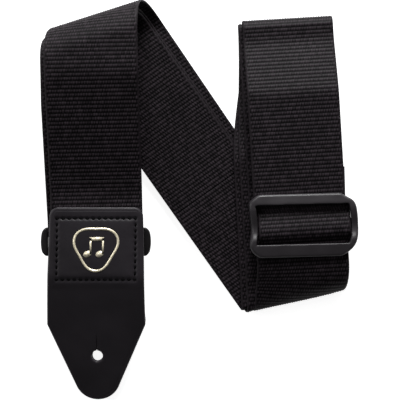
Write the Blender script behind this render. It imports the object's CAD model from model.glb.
# Guitar strap, folded in half and laid in an N: its looks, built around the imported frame.
# Metres, +Z up, +Y towards the strap's top folds.
import logging
import math
from dataclasses import dataclass, field
from enum import Enum

import bmesh
import bpy
import numpy as np
from mathutils import Matrix, Vector


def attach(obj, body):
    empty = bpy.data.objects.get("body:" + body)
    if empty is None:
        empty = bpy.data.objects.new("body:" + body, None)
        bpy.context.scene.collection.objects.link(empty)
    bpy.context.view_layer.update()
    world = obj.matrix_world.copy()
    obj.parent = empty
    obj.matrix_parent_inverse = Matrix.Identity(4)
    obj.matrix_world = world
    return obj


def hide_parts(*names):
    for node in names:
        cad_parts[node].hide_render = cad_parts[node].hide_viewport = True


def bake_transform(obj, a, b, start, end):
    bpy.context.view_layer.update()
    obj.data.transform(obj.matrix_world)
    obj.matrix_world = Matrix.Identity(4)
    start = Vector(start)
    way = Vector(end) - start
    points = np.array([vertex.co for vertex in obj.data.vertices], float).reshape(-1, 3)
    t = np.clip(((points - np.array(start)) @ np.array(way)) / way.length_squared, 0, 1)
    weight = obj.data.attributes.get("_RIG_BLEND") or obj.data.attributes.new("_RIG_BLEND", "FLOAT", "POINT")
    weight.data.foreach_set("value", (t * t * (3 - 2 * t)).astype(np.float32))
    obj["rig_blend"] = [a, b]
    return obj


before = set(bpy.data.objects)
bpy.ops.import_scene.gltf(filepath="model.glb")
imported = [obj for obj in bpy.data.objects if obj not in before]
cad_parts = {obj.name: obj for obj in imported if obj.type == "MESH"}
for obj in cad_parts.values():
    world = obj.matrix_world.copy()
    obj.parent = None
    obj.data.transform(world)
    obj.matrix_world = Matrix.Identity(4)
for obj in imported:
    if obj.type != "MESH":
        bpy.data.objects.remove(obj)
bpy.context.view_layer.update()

Colour = tuple[float, float, float]
Place = tuple[float, float, float]

LOG = logging.getLogger("guitar_strap")
MM = 0.001
SEED = 17
HALF_TURN = 180.0
FIRST_BEND = 2.0       # millimetres of level strip before a climb
LEFT_TILT = 1.2        # degrees that the left leg leans
RIGHT_TILT = 3.3       # degrees that the right leg leans
DRAWING_ORIGIN = Vector((1.58, 0.58, 0.01)) * MM   # where the part's drawing has its own origin


class Body(Enum):
    """The bodies of the frame that a piece can ride on."""

    WEBBING = "webbing"
    FRONT_END = "front_end"
    REAR_END = "rear_end"
    RING = "ring"
    SLIDE = "slide"


def smooth(value: np.ndarray) -> np.ndarray:
    """An even step from 0 to 1.

    Args:
        value: Where each point is on the step, 0 at its foot and 1 at its top.

    Returns:
        The step's height at each point.
    """
    part = np.clip(value, 0.0, 1.0)
    return part * part * (3.0 - 2.0 * part)


def points_of(mesh: bpy.types.Mesh) -> np.ndarray:
    """A mesh's points, as rows of x, y and z."""
    flat = np.empty(len(mesh.vertices) * 3)
    mesh.vertices.foreach_get("co", flat)
    return flat.reshape(-1, 3)


def move_points(mesh: bpy.types.Mesh, points: np.ndarray) -> None:
    """Puts a mesh's points in new places."""
    mesh.vertices.foreach_set("co", points.astype(np.float32).ravel())
    mesh.update()


def point_values(mesh: bpy.types.Mesh, name: str, values: np.ndarray) -> None:
    """Keeps one number for each point of a mesh, for its material to read."""
    layer = mesh.attributes.new(name, "FLOAT", "POINT")
    layer.data.foreach_set("value", values.astype(np.float32))


def in_frame(points: np.ndarray) -> np.ndarray:
    """Points of the part's own drawing, in millimetres, as places in the frame."""
    return points * MM + np.array(DRAWING_ORIGIN)


def mesh_of(bm: bmesh.types.BMesh, name: str) -> bpy.types.Mesh:
    """Makes a mesh of a finished bmesh, which it frees."""
    mesh = bpy.data.meshes.new(name)
    bm.to_mesh(mesh)
    bm.free()
    return mesh


def thicken(bm: bmesh.types.BMesh, thickness: float) -> None:
    """Gives a flat bmesh a thickness, with its faces pointing outwards."""
    bmesh.ops.solidify(bm, geom=bm.verts[:] + bm.edges[:] + bm.faces[:], thickness=thickness)
    bmesh.ops.recalc_face_normals(bm, faces=bm.faces)


def surface_map(mesh: bpy.types.Mesh, name: str, flat: np.ndarray) -> None:
    """Gives a mesh a UV map from a flat place for each of its points.

    Args:
        mesh: The mesh.
        name: The map's name.
        flat: Rows of across and along, one for each point.
    """
    corners = np.empty(len(mesh.loops), np.int32)
    mesh.loops.foreach_get("vertex_index", corners)
    layer = mesh.uv_layers.new(name=name)
    layer.data.foreach_set("uv", flat[corners].astype(np.float32).ravel())


def finished(name: str, mesh: bpy.types.Mesh, finish: "Finish") -> bpy.types.Object:
    """Makes an object of a mesh, smooth shaded and dressed.

    Args:
        name: The piece's name.
        mesh: Its mesh, in place.
        finish: The finish that it wears.

    Returns:
        The new object.
    """
    piece = bpy.data.objects.new(name, mesh)
    bpy.context.scene.collection.objects.link(piece)
    mesh.polygons.foreach_set("use_smooth", [True] * len(mesh.polygons))
    mesh.materials.append(finish.material())
    return piece


# ---- finishes -----------------------------------------------------------------------------
class NodeTree:
    """A material's nodes, with short ways to add and join them."""

    def __init__(self, name: str) -> None:
        """Starts an empty material of that name with a shader and an output."""
        self.material = bpy.data.materials.new(name)
        self.material.use_nodes = True
        self.tree = self.material.node_tree
        self.shader = self.tree.nodes["Principled BSDF"]

    def add(self, kind: str, **values: object) -> bpy.types.Node:
        """Adds a node and sets its own fields or its sockets.

        Args:
            kind: The node's type, without "ShaderNode".
            values: Fields by name, or sockets by name with spaces as underscores.

        Returns:
            The node.
        """
        node = self.tree.nodes.new("ShaderNode" + kind)
        for key, value in values.items():
            if hasattr(node, key):
                setattr(node, key, value)
            else:
                node.inputs[key.replace("_", " ")].default_value = value
        return node

    def join(self, start: bpy.types.NodeSocket, end: bpy.types.NodeSocket) -> None:
        """Links one socket to another."""
        self.tree.links.new(start, end)

    def ramp(self, source: bpy.types.NodeSocket, low: float, high: float,
             dark: Colour, light: Colour) -> bpy.types.NodeSocket:
        """A colour that goes from dark to light as a value rises.

        Args:
            source: The value.
            low: Where the dark colour ends.
            high: Where the light colour starts.
            dark: The colour below low.
            light: The colour above high.

        Returns:
            The colour's socket.
        """
        node = self.add("ValToRGB")
        node.color_ramp.elements[0].position = low
        node.color_ramp.elements[1].position = high
        node.color_ramp.elements[0].color = (*dark, 1.0)
        node.color_ramp.elements[1].color = (*light, 1.0)
        self.join(source, node.inputs["Fac"])
        return node.outputs["Color"]

    def noise(self, scale: float, detail: float, **values: float) -> bpy.types.NodeSocket:
        """A noise on the piece's own coordinates.

        Args:
            scale: How fine it is, for each metre.
            detail: How many finer layers it has.
            values: Other sockets of the noise, by name.

        Returns:
            The noise's value.
        """
        node = self.add("TexNoise", Scale=scale, Detail=detail, **values)
        self.join(self.place(), node.inputs["Vector"])
        return node.outputs["Fac"]

    def place(self) -> bpy.types.NodeSocket:
        """The piece's own coordinates."""
        return self.add("TexCoord").outputs["Object"]

    def colour(self, source: bpy.types.NodeSocket) -> None:
        """Gives the shader its colour."""
        self.join(source, self.shader.inputs["Base Color"])

    def vary_roughness(self, source: bpy.types.NodeSocket, span: tuple[float, float],
                       middle: float, less: float, more: float) -> None:
        """Lets the shader's roughness follow a value.

        Args:
            source: The value.
            span: The value's ends.
            middle: The finish's own roughness.
            less: How much smoother it is at the first end.
            more: How much rougher it is at the last end.
        """
        rough = self.add("MapRange", From_Min=span[0], From_Max=span[1], To_Min=middle - less,
                         To_Max=middle + more)
        self.join(source, rough.inputs["Value"])
        self.join(rough.outputs["Result"], self.shader.inputs["Roughness"])

    def bump(self, source: bpy.types.NodeSocket, strength: float, distance: float,
             under: bpy.types.Node | None = None) -> bpy.types.Node:
        """Lifts the surface a little where a value is high.

        Args:
            source: The value.
            strength: How much of the lift is used.
            distance: The height of the lift.
            under: A bump that this one lies on.

        Returns:
            The bump's node.
        """
        node = self.add("Bump", Strength=strength, Distance=distance)
        self.join(source, node.inputs["Height"])
        if under is not None:
            self.join(under.outputs["Normal"], node.inputs["Normal"])
        self.join(node.outputs["Normal"], self.shader.inputs["Normal"])
        return node


@dataclass(frozen=True)
class Finish:
    """What every finish has: its name, its slot in the record and its colour."""

    name: str
    slot: str
    colour: Colour
    roughness: float = 0.5
    specular: float = 0.4

    def material(self) -> bpy.types.Material:
        """The finish's material, made once."""
        return bpy.data.materials.get(self.name) or self.make()

    def start(self) -> NodeTree:
        """A new tree with the finish's even values set on its shader."""
        nodes = NodeTree(self.name)
        nodes.shader.inputs["Base Color"].default_value = (*self.colour, 1.0)
        nodes.shader.inputs["Roughness"].default_value = self.roughness
        nodes.shader.inputs["Specular IOR Level"].default_value = self.specular
        return nodes

    def make(self) -> bpy.types.Material:
        """Builds the material."""
        return self.start().material


@dataclass(frozen=True)
class WovenFinish(Finish):
    """Ribbed webbing: shiny synthetic yarns, dark in the gaps between them."""

    gap: Colour = (0.0006, 0.0003, 0.0006)
    fibre: float = 0.00016
    fibre_length: float = 0.0016

    def make(self) -> bpy.types.Material:
        """Builds the material."""
        nodes = self.start()
        relief = nodes.add("Attribute", attribute_name="relief")
        weave = nodes.add("UVMap", uv_map="weave")
        stretch = nodes.add("Mapping", Scale=(1 / self.fibre, 1 / self.fibre_length, 1.0))
        nodes.join(weave.outputs["UV"], stretch.inputs["Vector"])
        fibres = nodes.add("TexNoise", Scale=1.0, Detail=3.0, Roughness=0.6)
        nodes.join(stretch.outputs["Vector"], fibres.inputs["Vector"])
        shade = nodes.ramp(relief.outputs["Fac"], 0.15, 0.95, self.gap, self.colour)
        tint = nodes.ramp(nodes.noise(90.0, 3.0), 0.3, 0.7, (0.78, 0.78, 0.78), (1.0, 1.0, 1.0))
        mixed = nodes.add("MixRGB", blend_type="MULTIPLY", Fac=1.0)
        nodes.join(shade, mixed.inputs["Color1"])
        nodes.join(tint, mixed.inputs["Color2"])
        nodes.colour(mixed.outputs["Color"])
        nodes.vary_roughness(fibres.outputs["Fac"], (0.3, 0.7), self.roughness, 0.08, 0.1)
        nodes.bump(fibres.outputs["Fac"], 0.55, 0.00006)
        return nodes.material


@dataclass(frozen=True)
class LeatherFinish(Finish):
    """Smooth leather: fine pores, a soft grain and slightly paler worn edges."""

    pore: float = 0.0007
    grain: float = 0.0024

    def make(self) -> bpy.types.Material:
        """Builds the material."""
        nodes = self.start()
        pores = nodes.add("TexVoronoi", Scale=1 / self.pore, feature="DISTANCE_TO_EDGE")
        nodes.join(nodes.place(), pores.inputs["Vector"])
        grain = nodes.noise(1 / self.grain, 6.0, Roughness=0.65)
        dull = tuple(0.8 * part for part in self.colour)
        pale = tuple(1.2 * part for part in self.colour)
        shade = nodes.ramp(nodes.noise(45.0, 2.0), 0.3, 0.7, dull, pale)
        wear = nodes.add("Attribute", attribute_name="wear")
        worn = nodes.add("MixRGB", Color2=(*(2.2 * part for part in self.colour), 1.0))
        nodes.join(wear.outputs["Fac"], worn.inputs["Fac"])
        nodes.join(shade, worn.inputs["Color1"])
        nodes.colour(worn.outputs["Color"])
        nodes.vary_roughness(grain, (0.25, 0.75), self.roughness, 0.06, 0.08)
        first = nodes.bump(grain, 0.35, 0.0002)
        nodes.bump(pores.outputs["Distance"], 0.3, 0.00008, first)
        return nodes.material


@dataclass(frozen=True)
class MouldedFinish(Finish):
    """Satin moulded plastic with a fine spark-eroded texture and faint flow marks."""

    speck: float = 0.00035

    def make(self) -> bpy.types.Material:
        """Builds the material."""
        nodes = self.start()
        flow = nodes.noise(70.0, 3.0)
        low = tuple(0.85 * part for part in self.colour)
        high = tuple(1.15 * part for part in self.colour)
        nodes.colour(nodes.ramp(flow, 0.3, 0.7, low, high))
        nodes.vary_roughness(flow, (0.3, 0.7), self.roughness, 0.05, 0.07)
        nodes.bump(nodes.noise(1 / self.speck, 2.0), 0.25, 0.00005)
        return nodes.material


@dataclass(frozen=True)
class ThreadFinish(Finish):
    """Waxed thread with the slant of its twist."""

    twist: float = 0.0005
    slant: float = 35.0

    def make(self) -> bpy.types.Material:
        """Builds the material."""
        nodes = self.start()
        turned = nodes.add("Mapping", Rotation=(0.0, 0.0, math.radians(self.slant)))
        nodes.join(nodes.place(), turned.inputs["Vector"])
        bands = nodes.add("TexWave", Scale=1 / self.twist / 6.0, Distortion=0.5)
        nodes.join(turned.outputs["Vector"], bands.inputs["Vector"])
        dark = tuple(0.5 * part for part in self.colour)
        nodes.colour(nodes.ramp(bands.outputs["Fac"], 0.1, 0.9, dark, self.colour))
        nodes.bump(bands.outputs["Fac"], 0.5, 0.00008)
        return nodes.material


@dataclass(frozen=True)
class FoilFinish(Finish):
    """Hot-stamped foil: metallic, a little broken up by the grain under it."""

    metallic: float = 0.35

    def make(self) -> bpy.types.Material:
        """Builds the material."""
        nodes = self.start()
        nodes.shader.inputs["Metallic"].default_value = self.metallic
        grain = nodes.noise(900.0, 4.0)
        dull = tuple(0.7 * part for part in self.colour)
        nodes.colour(nodes.ramp(grain, 0.35, 0.55, dull, self.colour))
        nodes.bump(grain, 0.3, 0.00005)
        return nodes.material


WEAVE = WovenFinish("ribbed_weave", "webbing", (0.034, 0.026, 0.032), 0.55, 0.1)
LEATHER = LeatherFinish("black_leather", "leather", (0.0125, 0.0105, 0.013), 0.48, 0.22)
MOULDING = MouldedFinish("black_moulding", "moulding", (0.022, 0.0195, 0.022), 0.4, 0.3)
RING_MOULDING = MouldedFinish("ring_moulding_black", "moulding", (0.007, 0.0065, 0.007), 0.45, 0.2)
THREAD = ThreadFinish("black_thread", "thread", (0.0012, 0.0012, 0.0015), 0.7, 0.05)
FOIL = FoilFinish("gold_foil", "foil", (0.86, 0.78, 0.58), 0.32, 0.5)


# ---- webbing routes -----------------------------------------------------------------------
@dataclass(frozen=True)
class Bend:
    """A bend of a strip round a cylinder.

    Attributes:
        at: The distance along the strip's middle where it starts.
        oblique: How far the cylinder's axis leans from square across the strip, in degrees.
        radius: The cylinder's radius; a negative one bends the strip towards its face.
        turn: How far the strip goes round, in degrees.
    """

    at: float
    oblique: float
    radius: float
    turn: float


@dataclass(frozen=True)
class Slump:
    """How a soft fold sinks and skews under the weight of what lies on it, in millimetres.

    Attributes:
        start: The Y below which it begins.
        reach: How far below that it is at its full size.
        sink: The share of its height that the fold loses.
        middle: The X of the fold's middle.
        shift: How far the fold moves in X and Y.
        skew: How far it moves in Y for each millimetre from the middle.
    """

    start: float
    reach: float
    sink: float
    middle: float
    shift: tuple[float, float]
    skew: float

    def settle(self, points: np.ndarray) -> np.ndarray:
        """Moves the points of a fold to where they settle."""
        share = smooth((self.start - points[:, 1]) / self.reach)
        settled = points.copy()
        settled[:, 0] += share * self.shift[0]
        settled[:, 1] += share * (self.shift[1] + self.skew * (points[:, 0] - self.middle))
        settled[:, 2] *= 1 - self.sink * share
        return settled


@dataclass(frozen=True)
class Route:
    """The way that a strip's middle surface goes: a start, a heading and bends.

    Attributes:
        start: Where the strip starts, in millimetres of the part's own drawing.
        heading: Its lean from +Y, in degrees anticlockwise.
        bends: Its bends, in order, in millimetres.
        drift: A sideways shift, and where along the strip it starts and ends.
        slump: How its lower fold settles, if it does.
    """

    start: Place
    heading: float
    bends: tuple[Bend, ...]
    drift: tuple[float, float, float] = (0.0, 0.0, 1.0)
    slump: Slump | None = None

    def place(self, along: np.ndarray, across: np.ndarray) -> tuple[np.ndarray, np.ndarray]:
        """Where points of the flat strip lie once it is bent.

        Args:
            along: Distances along the strip, in millimetres.
            across: Distances from its middle line, in millimetres.

        Returns:
            The points, and the strip's normals there.
        """
        lean = math.radians(self.heading)
        origin = np.array(self.start)
        ahead = np.array((-math.sin(lean), math.cos(lean), 0.0))
        side = np.array((math.cos(lean), math.sin(lean), 0.0))
        normal = np.array((0.0, 0.0, 1.0))
        amount, drift_from, drift_to = self.drift
        across = across + amount * smooth((along - drift_from) / (drift_to - drift_from))
        points = np.zeros((len(along), 3))
        normals = np.zeros((len(along), 3))
        waiting = np.ones(len(along), bool)
        for bend in self.bends:
            lean, turn = math.radians(bend.oblique), math.radians(bend.turn)
            sign, size = math.copysign(1.0, bend.radius), abs(bend.radius)
            into = ahead * math.cos(lean) + side * math.sin(lean)
            axis = side * math.cos(lean) - ahead * math.sin(lean)
            inward = -sign * normal
            depth = (along - bend.at) * math.cos(lean) + across * math.sin(lean)
            sideways = across * math.cos(lean) - (along - bend.at) * math.sin(lean)
            corner = origin + ahead * bend.at
            before = waiting & (depth <= 0)
            points[before] = (origin + np.outer(along[before], ahead)
                              + np.outer(across[before], side))
            normals[before] = normal
            inside = waiting & (depth > 0) & (depth <= size * turn)
            angle = depth[inside] / size
            points[inside] = (corner + np.outer(size * np.sin(angle), into)
                              + np.outer(size * (1 - np.cos(angle)), inward)
                              + np.outer(sideways[inside], axis))
            normals[inside] = -sign * (np.outer(np.cos(angle), inward)
                                       - np.outer(np.sin(angle), into))
            waiting &= depth > size * turn
            turned = inward * math.cos(turn) - into * math.sin(turn)
            onward = into * math.cos(turn) + inward * math.sin(turn)
            bent = corner + into * (size * math.sin(turn)) + inward * (size * (1 - math.cos(turn)))
            normal = -sign * turned
            ahead = onward * math.cos(lean) - axis * math.sin(lean)
            side = onward * math.sin(lean) + axis * math.cos(lean)
            origin = bent - onward * (size * turn) - ahead * bend.at
        points[waiting] = (origin + np.outer(along[waiting], ahead)
                           + np.outer(across[waiting], side))
        normals[waiting] = normal
        return points, normals

    def settled(self, points: np.ndarray) -> np.ndarray:
        """The points after the route's fold has settled."""
        return points if self.slump is None else self.slump.settle(points)


@dataclass(frozen=True)
class Climb:
    """Two bends that raise or lower a strip and level it again, in millimetres.

    Attributes:
        rise: How far up it goes, or down if negative.
        angle: The slope between the bends, in degrees.
        radius: The radius of both bends.
    """

    rise: float
    angle: float
    radius: float

    def bends(self, at: float) -> tuple[Bend, Bend]:
        """The two bends of a climb that starts at a place along the strip."""
        sign = -1.0 if self.rise > 0 else 1.0
        second = at + self.radius * math.radians(self.angle) + self.slope()
        return (Bend(at, 0.0, sign * self.radius, self.angle),
                Bend(second, 0.0, -sign * self.radius, self.angle))

    def slope(self) -> float:
        """The length of the straight slope between the bends."""
        turn = math.radians(self.angle)
        return (abs(self.rise) - 2 * self.radius * (1 - math.cos(turn))) / math.sin(turn)

    def length(self) -> float:
        """The length of strip that the climb takes."""
        return 2 * self.radius * math.radians(self.angle) + self.slope()

    def plan(self) -> float:
        """The distance that the climb covers on the ground."""
        turn = math.radians(self.angle)
        return 2 * self.radius * math.sin(turn) + self.slope() * math.cos(turn)


@dataclass(frozen=True)
class Layer:
    """One layer of the strap: left leg, upper fold, slant, lower fold and right leg.

    Attributes:
        start: Where the layer starts.
        rise: The climb from there to the upper fold.
        upper_plan: The distance on the ground from the start to the upper fold.
        upper: The upper fold's obliqueness and radius.
        slant: The length of strip from fold to fold.
        lower: The lower fold's obliqueness and radius.
        level: The length of strip that runs level up the right leg.
        fall: The climb, downwards, to the level of the turn at the top.
        to_turn: The level stretch from there to the turn.
        drift: How far the layer leans sideways on its way to the turn.
        slump: How its lower fold settles.
    """

    start: Place
    rise: Climb
    upper_plan: float
    upper: tuple[float, float]
    slant: float
    lower: tuple[float, float]
    level: float
    fall: Climb
    to_turn: float
    drift: float = 0.0
    slump: Slump | None = None

    def fold_1(self) -> float:
        """The distance along the strip to the upper fold."""
        return self.rise.length() + self.upper_plan - self.rise.plan()

    def fall_at(self) -> float:
        """The distance along the strip to where it starts to fall."""
        return self.fold_1() + self.slant + math.pi * self.lower[1] + self.level

    def last(self) -> float:
        """The distance along the strip to the turn at the top."""
        return self.fall_at() + self.fall.length() + self.to_turn

    def route(self, *more: Bend) -> Route:
        """The layer's route, with any bends that come after it."""
        fold_1 = self.fold_1()
        folds = (Bend(fold_1, -self.upper[0], self.upper[1], HALF_TURN),
                 Bend(fold_1 + self.slant, -self.lower[0], self.lower[1], HALF_TURN))
        bends = self.rise.bends(FIRST_BEND) + folds + self.fall.bends(self.fall_at()) + more
        drift = (self.drift, self.fall_at(), self.last())
        return Route(self.start, LEFT_TILT, bends, drift, self.slump)


FRONT_SLUMP = Slump(-34.0, 28.0, 0.36, 54.0, (-2.2, 1.1), -0.12)
FRONT = Layer((-57.2, -2.0, 19.75), Climb(15.0, 13.0, 40.0), 86.0, (16.5, 17.0), 223.6, (15.4, 9.0),
              105.0, Climb(-8.5, 16.0, 25.0), 4.5, slump=FRONT_SLUMP)
REAR_UPPER = Layer((-59.6, -17.6, 12.05), Climb(17.3, 15.0, 25.0), 101.0, (17.0, 13.4), 214.6,
                   (16.0, 3.1), 74.0, Climb(-6.1, 9.0, 25.0), 32.32, 3.7)
REAR_LOWER = Layer((-59.4, -17.6, 5.95), Climb(21.6, 18.0, 25.0), 101.2, (17.0, 11.6), 208.6,
                   (16.0, 1.3), 74.0, Climb(-6.2, 9.0, 25.0), 31.98, 9.2)


# ---- webbing ------------------------------------------------------------------------------
@dataclass(frozen=True)
class Webbing:
    """The webbing that the strap is made of, in millimetres."""

    width: float = 50.8
    thick: float = 1.5
    rib: float = 2.2
    yarns: int = 70
    rows_per_rib: int = 4
    groove: float = 0.42
    yarn_drop: float = 0.4
    unevenness: float = 0.05
    selvedge: float = 1.3
    edge_round: float = 0.45
    edge_reach: float = 0.9
    edge_drop: float = 0.1
    edge_relief: float = 0.38
    least_half: float = 0.12
    crest_power: float = 0.7
    chances: int = 4096

    def piece(self, name: str, route: Route, first: float, last: float) -> bpy.types.Object:
        """A stretch of webbing along a route.

        Args:
            name: The piece's name.
            route: The route that it follows.
            first: Where along the route it starts, in millimetres.
            last: Where it ends.

        Returns:
            The piece, closed, with its weave as real relief.
        """
        rows = max(2, round((last - first) / self.rib)) * self.rows_per_rib
        bm = bmesh.new()
        bmesh.ops.create_grid(bm, x_segments=self.yarns, y_segments=rows, size=0.5)
        bmesh.ops.scale(bm, vec=(self.width, last - first, 1.0), verts=bm.verts)
        bmesh.ops.translate(bm, vec=(0.0, (first + last) / 2, 0.0), verts=bm.verts)
        thicken(bm, self.thick)
        mesh = mesh_of(bm, name)
        flat = points_of(mesh)
        across, along = flat[:, 0].copy(), flat[:, 1].copy()
        face = np.where(flat[:, 2] > flat[:, 2].mean(), 1.0, -1.0)
        height, relief = self.weave(across, along, face)
        points, normals = route.place(along, across)
        points = route.settled(points + normals * (height * face)[:, None])
        move_points(mesh, in_frame(points))
        point_values(mesh, "relief", relief)
        surface_map(mesh, "weave", np.stack((across, along), axis=1) * MM)
        return finished(name, mesh, WEAVE)

    def weave(self, across: np.ndarray, along: np.ndarray,
              face: np.ndarray) -> tuple[np.ndarray, np.ndarray]:
        """The weave's relief: ribs across the strip, each with every other yarn on top.

        Args:
            across: Distances from the middle line.
            along: Distances along the strip.
            face: 1 on the strip's face and -1 on its back.

        Returns:
            Half the strip's thickness at each point, and how far out of a groove it is, 0 to 1.
        """
        rng = np.random.default_rng(SEED)
        rib = along / self.rib
        crest = np.abs(np.sin(np.pi * rib)) ** self.crest_power
        yarn = np.rint((across / self.width + 0.5) * self.yarns).astype(int)
        number = np.floor(rib + 1e-6).astype(int)
        under = ((yarn + number + (face < 0)) % 2).astype(float)
        chance = rng.random((self.yarns + 1, self.chances)) - 0.5
        jitter = chance[np.clip(yarn, 0, self.yarns), number % self.chances] * 2 * self.unevenness
        edge = self.width / 2 - np.abs(across)
        woven = smooth(edge / self.selvedge - 0.4)
        sunk = self.yarn_drop * under * (0.35 + 0.65 * crest)
        drop = self.groove * (1 - crest) + sunk - jitter * crest
        round_off = self.edge_round * (1 - smooth(edge / self.edge_reach))
        half = self.thick / 2 - drop * woven - round_off - self.edge_drop * (1 - woven)
        ribbed = crest ** 2 * (1 - 0.8 * under) + jitter * 5
        relief = (1 - woven) * self.edge_relief + woven * ribbed
        return np.maximum(half, self.least_half), np.clip(relief, 0.0, 1.0)

    def declared(self, piece: bpy.types.Object, length: float, held: str) -> None:
        """Says that a piece is a sheet of webbing of this length, in millimetres."""


@dataclass
class Strap:
    """The strap's webbing: three layers, their turns and the stretch sewn to the leather."""

    webbing: Webbing = field(default_factory=Webbing)
    sewn_ribs: int = 18
    hinge_ribs: int = 6
    half_ribs: int = 111
    turn_radius: float = 4.75
    inner_turn_radius: float = 2.85
    turn_middle: tuple[float, float] = (46.9, 97.3)
    fixed_length: float = 107.3
    fixed_height: float = 10.55
    fixed_fall: Climb = Climb(-2.2, 3.5, 60.0)
    fixed_fall_at: float = 57.0
    ring_start: Place = (-59.5, -17.1, 12.05)
    ring_lead: float = 0.5
    ring_radius: float = 3.05

    def build(self) -> list[bpy.types.Object]:
        """Builds every stretch of webbing that stays on the strap's own body."""
        pieces = [*self.front(), *self.rear("upper", REAR_UPPER, (
            "web_rear_left_leg_upper", "web_middle_upper_fold", "web_middle_slant",
            "web_middle_lower_fold", "web_rear_right_leg_upper", "web_rear_top_run_upper"))]
        pieces += self.rear("lower", REAR_LOWER, (
            "web_rear_left_leg_lower", "web_inner_upper_fold", "web_inner_slant",
            "web_inner_lower_fold", "web_rear_right_leg_lower", "web_rear_top_run_lower"))
        pieces += [self.fixed_run(), self.ring_loop()]
        for piece in pieces:
            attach(piece, Body.WEBBING.value)
        pieces.append(self.sewn_end())
        return pieces

    def stretch(self, name: str, route: Route, first: float, last: float, held: str,
                nodes: tuple[str, ...]) -> bpy.types.Object:
        """A piece of webbing that stands for some of the frame's nodes.

        Args:
            name: The piece's name.
            route: The route that it follows.
            first: Where along the route it starts, in millimetres.
            last: Where it ends.
            held: How the sheet is held, "folded" or "laid".
            nodes: The nodes that it stands for.

        Returns:
            The piece.
        """
        piece = self.webbing.piece(name, route, first, last)
        self.webbing.declared(piece, last - first, held)
        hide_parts(*nodes)
        return piece

    def front(self) -> tuple[bpy.types.Object, bpy.types.Object]:
        """The outer layer, from the left leg to its turn at the top."""
        turn = Bend(FRONT.last(), 0.0, self.turn_radius, HALF_TURN)
        route = FRONT.route(turn)
        rib = self.webbing.rib
        first, middle = self.hinge_ribs * rib, self.half_ribs * rib
        end = math.floor((FRONT.last() + math.pi * self.turn_radius) / rib) * rib
        upper = self.stretch("webbing_front_upper", route, first, middle, "folded",
                             ("web_front_left_leg", "web_outer_upper_fold"))
        lower = self.stretch("webbing_front_lower", route, middle, end, "folded", (
            "web_outer_slant", "web_outer_lower_fold", "web_front_right_leg",
            "web_front_top_run", "web_top_turn_outer"))
        return upper, lower

    def rear(self, name: str, layer: Layer, nodes: tuple[str, ...]) -> tuple[bpy.types.Object, ...]:
        """One of the two rear layers, as two pieces.

        Args:
            name: Which layer it is, for the pieces' names.
            layer: The layer.
            nodes: Its six nodes, from the left leg to the top run.

        Returns:
            The two pieces.
        """
        route = layer.route()
        middle = (self.half_ribs - 1) * self.webbing.rib
        title = f"webbing_rear_{name}_"
        return (self.stretch(title + "start", route, 0.0, middle, "folded", nodes[:2]),
                self.stretch(title + "end", route, middle, layer.last(), "folded", nodes[2:]))

    def fixed_run(self) -> bpy.types.Object:
        """The layer from under the slide to the top, and its turn."""
        lean = math.radians(RIGHT_TILT)
        x, y = self.turn_middle
        start = (x + self.fixed_length * math.sin(lean), y - self.fixed_length * math.cos(lean),
                 self.fixed_height)
        turn = Bend(self.fixed_length, 0.0, self.inner_turn_radius, HALF_TURN)
        route = Route(start, RIGHT_TILT, (*self.fixed_fall.bends(self.fixed_fall_at), turn))
        return self.stretch("webbing_fixed_run", route, 0.0,
                            self.fixed_length + math.pi * self.inner_turn_radius, "folded",
                            ("web_fixed_run", "web_top_turn_inner"))

    def ring_loop(self) -> bpy.types.Object:
        """The short bend round the loop ring's upper bar."""
        turn = Bend(self.ring_lead, 0.0, self.ring_radius, HALF_TURN)
        length = math.pi * self.ring_radius + 2 * self.ring_lead
        route = Route(self.ring_start, HALF_TURN, (turn,))
        return self.stretch("webbing_ring_loop", route, 0.0, length, "folded", ("web_ring_loop",))

    def sewn_end(self) -> bpy.types.Object:
        """The end sewn under the leather, which bends where the leather end lifts."""
        rib = self.webbing.rib
        piece = self.stretch("webbing_sewn_end", FRONT.route(), -self.sewn_ribs * rib,
                             self.hinge_ribs * rib, "laid", ("web_sewn_end",))
        ends = []
        for along in (self.hinge_ribs * rib - 1.0, -4.0 * rib):
            place, _ = FRONT.route().place(np.array([along]), np.array([0.0]))
            ends.append(tuple(in_frame(place[0])))
        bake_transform(piece, Body.WEBBING.value, Body.FRONT_END.value, start=ends[0], end=ends[1])
        return piece


# ---- leather ends -------------------------------------------------------------------------
STITCH_PITCH = 3.3                    # millimetres from stitch to stitch
STITCH_HALVES = (1.25, 0.66, 0.5)     # half a stitch's length, width and height
STITCH_LIFT = 0.3                     # how far its middle is above the groove's floor
STITCH_LEAN = 7.0                     # degrees that a stitch leans from its row


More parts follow.
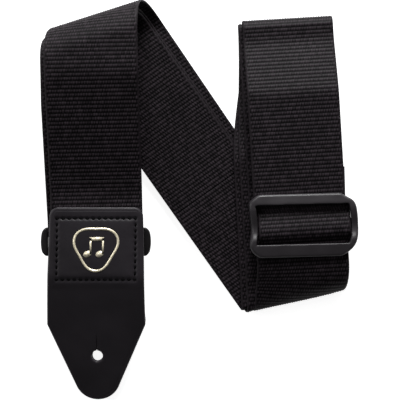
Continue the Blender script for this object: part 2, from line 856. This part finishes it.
@dataclass(frozen=True)
class LeatherOutline:
    """The flat outline of a leather end, in millimetres along it and across it.

    Attributes:
        sides: Pairs of a place along the sheet and its half width there, up to the shoulder.
        length: The whole length, to the tip.
        tip_radius: The tip's radius.
        corner: The radius of the two corners at the start.
    """

    sides: tuple[tuple[float, float], ...]
    length: float
    tip_radius: float = 12.8
    corner: float = 5.0

    def half_width(self, along: np.ndarray) -> np.ndarray:
        """Half the sheet's width at each place along it."""
        shoulder, full = self.sides[-1]
        middle = self.length - self.tip_radius
        reach = math.hypot(full, middle - shoulder)
        angle = math.atan2(middle - shoulder, full) - math.acos(self.tip_radius / reach)
        touch = middle - self.tip_radius * math.sin(angle)
        places = [place for place, _ in self.sides] + [touch]
        widths = [width for _, width in self.sides] + [self.tip_radius * math.cos(angle)]
        straight = np.interp(along, places, widths)
        round_tip = np.sqrt(np.maximum(self.tip_radius ** 2 - (along - middle) ** 2, 0.0))
        width = np.where(along > touch, round_tip, straight)
        short = np.clip(self.corner - along, 0.0, self.corner)
        return width - (self.corner - np.sqrt(self.corner ** 2 - short ** 2))

    def to_edge(self, along: np.ndarray, across: np.ndarray) -> np.ndarray:
        """How far each point is from the outline."""
        width = self.half_width(along)
        step = 0.05
        slope = (self.half_width(along + step) - self.half_width(along - step)) / (2 * step)
        side = (width - np.abs(across)) / np.sqrt(1.0 + slope ** 2)
        return np.minimum(side, along)


@dataclass(frozen=True)
class StitchBox:
    """A rectangle of stitches on a leather end, in millimetres along and across it."""

    half: float
    start: float
    end: float
    pitch: float = STITCH_PITCH

    def distance(self, along: np.ndarray, across: np.ndarray) -> np.ndarray:
        """How far each point is inside the rectangle's line, negative outside it."""
        middle, reach = (self.start + self.end) / 2, (self.end - self.start) / 2
        return np.minimum(self.half - np.abs(across), reach - np.abs(along - middle))

    def counts(self) -> tuple[int, int]:
        """How many stitches lie along the rectangle's width and length."""
        return int(2 * self.half / self.pitch), int((self.end - self.start) / self.pitch)

    def pull(self, along: np.ndarray, across: np.ndarray) -> np.ndarray:
        """How much the thread pulls the leather in: 1 at each stitch, 0 between two."""
        count_across, count_along = self.counts()
        width, length = 2 * self.half, self.end - self.start
        to_row = length / 2 - np.abs(along - (self.start + self.end) / 2)
        on_row = to_row < self.half - np.abs(across)
        phase = np.where(on_row, (across + self.half) / width * count_across,
                         (along - self.start) / length * count_along)
        return 0.5 + 0.5 * np.cos(2 * math.pi * phase)

    def places(self) -> list[tuple[float, float, bool]]:
        """Where the stitches are: along, across, and whether they lie across the sheet."""
        count_across, count_along = self.counts()
        found = []
        for i in range(count_across + 1):
            across = -self.half + 2 * self.half * i / count_across
            found += [(along, across, True) for along in (self.start, self.end)]
        for i in range(1, count_along):
            along = self.start + (self.end - self.start) * i / count_along
            found += [(along, across, False) for across in (-self.half, self.half)]
        return found


@dataclass
class LeatherEnd:
    """A leather end, in millimetres: one thick sheet with a button hole and its slit."""

    name: str
    body: Body
    node: str
    route: Route
    outline: LeatherOutline
    hole_at: float
    thick: float = 2.4
    columns: int = 88
    rows: int = 200
    hole_radius: float = 3.25
    hole_round: float = 0.3
    slit_length: float = 10.4
    slit_gap: float = 0.22
    slit_taper: float = 3.0
    edge_round: float = 1.1
    edge_drop: float = 0.62
    crease: float = 0.12
    crease_in: float = 1.9
    wave: float = 0.05
    box: StitchBox | None = None
    groove: float = 0.65
    groove_width: float = 0.75
    padding: float = 0.35

    def build(self) -> bpy.types.Object:
        """Builds the leather end.

        Returns:
            The piece, riding on its body.
        """
        bm = bmesh.new()
        bmesh.ops.create_grid(bm, x_segments=self.columns, y_segments=self.rows, size=0.5)
        for vert in bm.verts:
            along = self.outline.length * (1 - math.cos(math.pi * (vert.co.y + 0.5))) / 2
            along = min(max(along, 0.01), self.outline.length - 0.02)
            half = float(self.outline.half_width(np.array([along]))[0])
            vert.co = (2 * vert.co.x * half, along, 0.0)
        self.cut_hole(bm)
        self.cut_slit(bm)
        thicken(bm, self.thick)
        mesh = mesh_of(bm, self.name)
        self.shape(mesh)
        piece = finished(self.name, mesh, LEATHER)
        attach(piece, self.body.value)
        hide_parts(self.node)
        return piece

    def cut_hole(self, bm: bmesh.types.BMesh) -> None:
        """Opens the button hole in the flat sheet."""
        middle = Vector((0.0, self.hole_at, 0.0))
        inside = [face for face in bm.faces
                  if (face.calc_center_median() - middle).length < self.hole_radius]
        rim = {vert for face in inside for vert in face.verts}
        bmesh.ops.delete(bm, geom=inside, context="FACES")
        for vert in rim:
            if vert.is_valid and vert.is_boundary:
                reach = vert.co - middle
                vert.co = middle + reach.normalized() * self.hole_radius

    def cut_slit(self, bm: bmesh.types.BMesh) -> None:
        """Splits the sheet from the hole along its middle line, and opens the split a little."""
        near = self.hole_at - self.hole_radius
        far = near - self.slit_length
        line = [edge for edge in bm.edges if all(abs(vert.co.x) < 1e-4 for vert in edge.verts)
                and all(far <= vert.co.y <= near + 0.3 for vert in edge.verts)]
        bmesh.ops.split_edges(bm, edges=line)
        for vert in bm.verts:
            if abs(vert.co.x) < 1e-4 and vert.is_boundary and far < vert.co.y < near + 0.3:
                sides = sum(face.calc_center_median().x for face in vert.link_faces)
                open_share = min(1.0, (vert.co.y - far) / self.slit_taper)
                vert.co.x = math.copysign(self.slit_gap * open_share, sides)

    def shape(self, mesh: bpy.types.Mesh) -> None:
        """Rounds the sheet's edges, pads its stitched part and lays it along its route.

        Args:
            mesh: The flat sheet, with its thickness.
        """
        flat = points_of(mesh)
        across, along = flat[:, 0].copy(), flat[:, 1].copy()
        face = np.where(flat[:, 2] > flat[:, 2].mean(), 1.0, -1.0)
        edge = self.outline.to_edge(along, across)
        hole = np.hypot(across, along - self.hole_at) - self.hole_radius
        short = 1 - np.clip(edge / self.edge_round, 0, 1)
        drop = self.edge_drop * (1 - np.sqrt(np.clip(1 - short ** 2, 0, 1)))
        drop += self.hole_round * (1 - smooth(hole / 0.9))
        drop += self.crease * np.exp(-((edge - self.crease_in) / 0.35) ** 2)
        drop += self.wave * np.sin(along * 0.31 + across * 0.17) * np.sin(across * 0.23)
        height = self.thick / 2 - drop
        if self.box is not None:
            inside = self.box.distance(along, across)
            swell = np.clip(1 - np.exp(-np.abs(inside) / 2.2), 0, 1) * smooth(edge / 2.5)
            pad = self.padding * swell * (1 - smooth((along - self.box.end - 1) / 5.0))
            pull = 0.35 + 0.65 * self.box.pull(along, across)
            line = self.groove * np.exp(-(inside / self.groove_width) ** 2) * pull
            height += np.where(face > 0, pad - line, 0.0)
        points, normals = self.route.place(along, across)
        move_points(mesh, in_frame(points + normals * (height * face)[:, None]))
        wear = 0.55 * (1 - smooth(edge / 0.9)) + 0.5 * (1 - smooth(hole / 0.8))
        point_values(mesh, "wear", np.clip(wear, 0.0, 1.0))

    def stitching(self, name: str, places: list[tuple[float, float, bool]],
                  node: str) -> bpy.types.Object:
        """Stitches on the leather, each a short plump bar of thread.

        Args:
            name: The piece's name.
            places: Where the stitches are: along, across, and whether they lie across the sheet.
            node: The node that it stands for.

        Returns:
            The piece, riding on the same body.
        """
        bm = bmesh.new()
        for along, across, sideways in places:
            at, normal = self.route.place(np.array([along]), np.array([across]))
            ahead, _ = self.route.place(np.array([along + 0.1]), np.array([across]))
            up = Vector(normal[0])
            forward = Vector(ahead[0] - at[0]).normalized()
            turn = Matrix((up.cross(forward) if sideways else forward,
                           forward if sideways else forward.cross(up), up)).transposed().to_4x4()
            centre = Vector(at[0]) + up * (self.thick / 2 - self.groove + STITCH_LIFT)
            slant = Matrix.Rotation(math.radians(STITCH_LEAN), 4, "Z")
            scale = Matrix.Diagonal((*STITCH_HALVES, 1.0))
            bmesh.ops.create_uvsphere(bm, u_segments=8, v_segments=6, radius=1.0,
                                      matrix=Matrix.Translation(centre) @ turn @ slant @ scale)
        bmesh.ops.recalc_face_normals(bm, faces=bm.faces)
        bmesh.ops.scale(bm, vec=(MM, MM, MM), verts=bm.verts)
        bmesh.ops.translate(bm, vec=DRAWING_ORIGIN, verts=bm.verts)
        piece = finished(name, mesh_of(bm, name), THREAD)
        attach(piece, self.body.value)
        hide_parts(node)
        return piece


FRONT_OUTLINE = LeatherOutline(((0.0, 25.6), (65.8, 27.3)), 110.6)
REAR_OUTLINE = LeatherOutline(((0.0, 23.0), (39.4, 23.0), (79.6, 27.0)), 123.4, corner=1.0)
FRONT_HOLE_AT = 84.35    # millimetres along the sheet to the button hole
REAR_HOLE_AT = 99.0


@dataclass
class LeatherEnds:
    """Both leather ends with their stitching and the foil ornament, in millimetres."""

    middle: float = -57.0
    front_box: StitchBox = StitchBox(21.6, 6.2, 39.6)
    rear_row_at: float = 9.5
    rear_row_half: float = 20.5
    rear_row_count: int = 13
    foil_at: float = 22.0
    foil_thick: float = 0.1
    foil_gap: float = 0.06
    foil_line: float = 1.3
    foil_radius: float = 12.2
    note_apart: float = 3.4
    note_head: tuple[float, float] = (2.3, 1.7)
    stem: tuple[float, float] = (1.0, 8.8)
    beam: tuple[float, float] = (7.8, 2.0)

    def build(self) -> list[bpy.types.Object]:
        """Builds both ends and what is on them."""
        front = LeatherEnd("leather_front", Body.FRONT_END, "leather_end_front", self.front_route(),
                           FRONT_OUTLINE, FRONT_HOLE_AT, box=self.front_box)
        rear = LeatherEnd("leather_rear", Body.REAR_END, "leather_end_rear", self.rear_route(),
                          REAR_OUTLINE, REAR_HOLE_AT)
        row = [(self.rear_row_at, -self.rear_row_half + STITCH_PITCH * i, True)
               for i in range(self.rear_row_count)]
        return [front.build(), rear.build(),
                front.stitching("thread_front", self.front_box.places(), "front_leather_stitching"),
                rear.stitching("thread_rear", row, "rear_leather_stitching"),
                self.foil(front)]

    def front_route(self) -> Route:
        """Level over the sewn webbing, then sloping down to the rear end's tip."""
        slope = Bend(36.0, 0.0, 20.0, 14.04)
        return Route((self.middle, -4.0, 21.8), HALF_TURN, (slope,), (0.6, 8.0, 62.0))

    def rear_route(self) -> Route:
        """From the sewn tab's end, up and round the ring's bar, back and flat to the tip."""
        up = Climb(8.3, 20.0, 12.0)
        wrap_at = 28.92
        down = Climb(4.35, 10.0, 25.0)
        down_at = wrap_at + math.pi * 3.45 + 4.0
        wrap = Bend(wrap_at, 0.0, 3.45, HALF_TURN)
        bends = (*up.bends(0.5), wrap, *down.bends(down_at))
        return Route((self.middle - 0.8, -56.74, 4.15), 0.0, bends)

    def foil(self, front: LeatherEnd) -> bpy.types.Object:
        """A stamped ornament: a plectrum's outline round a pair of quavers.

        Args:
            front: The leather end that it is stamped on.

        Returns:
            The piece.
        """
        bm = bmesh.new()
        ring = bmesh.ops.create_circle(bm, cap_ends=True, segments=72, radius=1.0)
        for vert in ring["verts"]:
            angle = math.atan2(vert.co.y, vert.co.x)
            vert.co *= self.foil_radius * (1 + 0.12 * math.cos(3 * (angle + math.pi / 2)))
        inner = bmesh.ops.inset_region(bm, faces=bm.faces[:], thickness=self.foil_line,
                                       use_even_offset=True, use_boundary=True)
        rim = set(inner["faces"])
        core = [face for face in bm.faces if face not in rim]
        bmesh.ops.delete(bm, geom=core, context="FACES")
        bars = []
        for x in (-self.note_apart, self.note_apart):
            head = Matrix.Translation((x - 1.3, -3.7, 0)) @ Matrix.Rotation(0.4, 4, "Z")
            bmesh.ops.create_circle(bm, cap_ends=True, segments=24, radius=1.0,
                                    matrix=head @ Matrix.Diagonal((*self.note_head, 1.0, 1.0)))
            bars.append(((x + 0.45, 0.7, 0), self.stem))
        bars.append(((0.45, 4.6, 0), self.beam))
        for place, size in bars:
            matrix = Matrix.Translation(place) @ Matrix.Diagonal((*size, 1.0, 1.0))
            bmesh.ops.create_grid(bm, x_segments=1, y_segments=1, size=0.5, matrix=matrix)
        thicken(bm, self.foil_thick)
        mesh = mesh_of(bm, "foil_ornament")
        flat = points_of(mesh)
        points, normals = front.route.place(self.foil_at - flat[:, 1], -flat[:, 0])
        lift = front.thick / 2 + front.padding + self.foil_gap + flat[:, 2] - flat[:, 2].min()
        move_points(mesh, in_frame(points + normals * lift[:, None]))
        piece = finished("foil_ornament", mesh, FOIL)
        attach(piece, Body.FRONT_END.value)
        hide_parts("foil_print")
        return piece


# ---- moulded parts ------------------------------------------------------------------------
MERGE_DISTANCE = 1e-6    # metres within which two corners of a frame's node are one


@dataclass
class Moulding:
    """A moulded part whose corners are softened all over, made from its node's own shape.

    Attributes:
        name: The piece's name.
        body: The body that it rides on.
        node: The node that it stands for, and starts from.
        voxel: The fineness of its skin, in millimetres.
        rounds: How many times the skin is smoothed.
        finish: The finish that it wears.
    """

    name: str
    body: Body
    node: str
    voxel: float
    rounds: int
    finish: Finish = MOULDING

    def build(self) -> bpy.types.Object:
        """Builds the part."""
        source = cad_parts[self.node]
        bm = bmesh.new()
        bm.from_mesh(source.data)
        bmesh.ops.remove_doubles(bm, verts=bm.verts, dist=MERGE_DISTANCE)
        rough = bpy.data.objects.new(self.name + "_rough", mesh_of(bm, self.name + "_rough"))
        bpy.context.scene.collection.objects.link(rough)
        remesh = rough.modifiers.new("skin", "REMESH")
        remesh.mode = "VOXEL"
        remesh.voxel_size = self.voxel * MM
        remesh.adaptivity = 0.0
        bpy.context.view_layer.update()
        seen = rough.evaluated_get(bpy.context.evaluated_depsgraph_get())
        skin = bpy.data.meshes.new_from_object(seen)
        bpy.data.objects.remove(rough)
        bm = bmesh.new()
        bm.from_mesh(skin)
        for _ in range(self.rounds):
            bmesh.ops.smooth_vert(bm, verts=bm.verts, factor=0.5, use_axis_x=True, use_axis_y=True,
                                  use_axis_z=True)
        bm.to_mesh(skin)
        bm.free()
        self.refine(skin)
        skin.materials.clear()
        piece = finished(self.name, skin, self.finish)
        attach(piece, self.body.value)
        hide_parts(self.node)
        return piece

    def refine(self, mesh: bpy.types.Mesh) -> None:
        """Changes the softened shape where a part needs it; a plain moulding needs nothing."""


@dataclass
class LoopRing(Moulding):
    """The loop ring, whose end blocks are fuller than the frame's and taper at their corners."""

    centre: tuple[float, float] = (-59.5, -23.4)
    half_height: float = 8.0
    left_in: float = 0.75
    right_out: float = 1.5
    corner_taper: float = 1.3

    def refine(self, mesh: bpy.types.Mesh) -> None:
        """Fills out the end blocks and tapers their corners.

        Args:
            mesh: The softened ring, in place.
        """
        points = points_of(mesh)
        x = (points[:, 0] - DRAWING_ORIGIN.x) / MM - self.centre[0]
        y = (points[:, 1] - DRAWING_ORIGIN.y) / MM - self.centre[1]
        outer = smooth((np.abs(x) - 26.4) / 4.0)
        taper = self.corner_taper * (y / self.half_height) ** 2 * outer
        shift = np.where(x < 0, self.left_in * smooth((-x - 24.0) / 2.4) + taper,
                         self.right_out * smooth((x - 22.0) / 4.0) - taper)
        points[:, 0] += shift * MM
        move_points(mesh, points)


@dataclass
class Slide(Moulding):
    """The three-bar slide, in millimetres: its right end bulges and its rails dip."""

    centre: tuple[float, float] = (55.6, -15.0)
    tilt: float = 1.5
    half_height: float = 18.5
    left_in: float = 3.2
    right_bulge: float = 1.4
    corner_in: float = 2.6
    rail_dip: float = 2.4
    upper_lift: float = 1.2
    lower_lift: float = 2.0
    outer_fall: float = 1.0

    def refine(self, mesh: bpy.types.Mesh) -> None:
        """Dips the side rails, bulges the right end and slopes the bars.

        Args:
            mesh: The softened slide, in place.
        """
        points = points_of(mesh)
        lean = math.radians(self.tilt)
        x = (points[:, 0] - DRAWING_ORIGIN.x) / MM - self.centre[0]
        y = (points[:, 1] - DRAWING_ORIGIN.y) / MM - self.centre[1]
        across = x * math.cos(lean) + y * math.sin(lean)
        along = y * math.cos(lean) - x * math.sin(lean)
        rail = smooth((np.abs(across) - 24.0) / 3.0)
        high = smooth((points[:, 2] / MM - 17.0) / 5.0)
        dip = self.rail_dip * np.exp(-(along / 6.5) ** 2) * rail * high
        points[:, 2] -= dip * MM
        end = smooth((np.abs(across) - 20.0) / 8.0)
        corner = (along / self.half_height) ** 2
        bulge = self.right_bulge - (self.right_bulge + self.corner_in) * corner
        left = self.left_in * (0.7 + 0.3 * np.cos(math.pi * along / self.half_height))
        points[:, 0] += np.where(across > 0, bulge, left) * end * MM
        bar = smooth((np.abs(along) - 2.0) / 8.0)
        upper = self.upper_lift * (1 - smooth((along - 12.0) / 5.0))
        points[:, 1] += np.where(along > 0, upper, self.lower_lift) * bar * MM
        points[:, 2] -= self.outer_fall * np.clip((np.abs(along) - 9.0) / 8.0, 0, 1) * MM
        move_points(mesh, points)


@dataclass
class SlideWebbing:
    """The webbing that travels with the slide, in millimetres: its loop and the hump on it."""

    webbing: Webbing = field(default_factory=Webbing)
    leg: float = 37.1
    loop_radius: float = 2.35
    loop_start: Place = (54.74, 17.99, 16.95)
    loop_heading: float = 181.5
    hump_start: Place = (58.5, -27.0, 18.45)
    hump_heading: float = 3.4
    hump_rise: Climb = Climb(3.2, 35.0, 3.0)
    hump_fall: Climb = Climb(-3.2, 16.0, 12.0)
    hump_flat: float = 1.0
    hump_end: float = 1.0

    def build(self) -> list[bpy.types.Object]:
        """Builds the loop and the hump."""
        loop_length = 2 * self.leg + math.pi * self.loop_radius
        turn = Bend(self.leg, 0.0, self.loop_radius, HALF_TURN)
        loop_route = Route(self.loop_start, self.loop_heading, (turn,))
        loop = self.webbing.piece("webbing_slide_loop", loop_route, 0.0, loop_length)
        self.webbing.declared(loop, loop_length, "folded")
        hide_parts("web_slide_loop")
        fall_at = FIRST_BEND + self.hump_rise.length() + self.hump_flat
        hump_length = fall_at + self.hump_fall.length() + self.hump_end
        bends = (*self.hump_rise.bends(FIRST_BEND), *self.hump_fall.bends(fall_at))
        hump_route = Route(self.hump_start, self.hump_heading, bends)
        hump = self.webbing.piece("webbing_slide_hump", hump_route, 0.0, hump_length)
        self.webbing.declared(hump, hump_length, "laid")
        for piece in (loop, hump):
            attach(piece, Body.SLIDE.value)
        return [loop, hump]


# ---- studio -------------------------------------------------------------------------------
@dataclass
class Studio:
    """A pale floor, soft light from the strap's top side and the camera straight above."""

    camera_height: float = 0.633
    lens: float = 100.0
    floor_size: float = 4.0
    floor_glow: float = 0.9
    sky: float = 0.1

    def build(self) -> None:
        """Sets up the floor, the lights and the camera."""
        scene = bpy.context.scene
        scene.view_settings.view_transform = "Standard"
        bm = bmesh.new()
        bmesh.ops.create_grid(bm, x_segments=1, y_segments=1, size=self.floor_size / 2)
        mesh = mesh_of(bm, "floor")
        floor = bpy.data.objects.new("floor", mesh)
        scene.collection.objects.link(floor)
        floor.location.z = -0.0002
        paint = NodeTree("floor_paint")
        paint.shader.inputs["Base Color"].default_value = (0.6, 0.6, 0.6, 1.0)
        paint.shader.inputs["Emission Color"].default_value = (1.0, 1.0, 1.0, 1.0)
        paint.shader.inputs["Emission Strength"].default_value = self.floor_glow
        paint.shader.inputs["Roughness"].default_value = 0.9
        paint.shader.inputs["Specular IOR Level"].default_value = 0.0
        mesh.materials.append(paint.material)
        self.light("key", (0.05, 1.0, 0.5), 0.5, 24.0)
        self.light("fill", (-0.75, 0.2, 0.6), 0.5, 2.5)
        world = scene.world or bpy.data.worlds.new("studio")
        scene.world = world
        world.use_nodes = True
        world.node_tree.nodes["Background"].inputs["Color"].default_value = (1.0, 1.0, 1.0, 1.0)
        world.node_tree.nodes["Background"].inputs["Strength"].default_value = self.sky
        camera = bpy.data.objects.new("camera", bpy.data.cameras.new("camera"))
        camera.data.lens = self.lens
        camera.location = DRAWING_ORIGIN + Vector((0.0, 0.0, self.camera_height))
        scene.collection.objects.link(camera)
        scene.camera = camera

    def light(self, name: str, place: Place, size: float, power: float) -> None:
        """Adds a soft square light that faces the object.

        Args:
            name: The light's name.
            place: Where it is.
            size: Its side.
            power: Its power in watts.
        """
        data = bpy.data.lights.new(name, "AREA")
        data.energy = power
        data.size = size
        lamp = bpy.data.objects.new(name, data)
        lamp.location = place
        lamp.rotation_euler = (-Vector(place)).to_track_quat("-Z", "Y").to_euler()
        bpy.context.scene.collection.objects.link(lamp)


def dress_node(node: str, finish: Finish) -> None:
    """Gives a node of the frame that stays in sight one of the finishes."""
    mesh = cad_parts[node].data
    mesh.materials.clear()
    mesh.materials.append(finish.material())


def main() -> None:
    """Builds the strap and its studio, and reports each piece."""
    logging.basicConfig(level=logging.INFO, format="%(message)s")
    pieces = Strap().build()
    pieces += LeatherEnds().build()
    pieces.append(LoopRing("ring_moulding", Body.RING, "loop_ring", voxel=0.36, rounds=4,
                           finish=RING_MOULDING).build())
    pieces.append(Slide("slide_moulding", Body.SLIDE, "slide_frame", voxel=0.42, rounds=5).build())
    pieces += SlideWebbing().build()
    dress_node("slide_loop_stitching", THREAD)
    Studio().build()


if __name__ == "__main__":
    main()
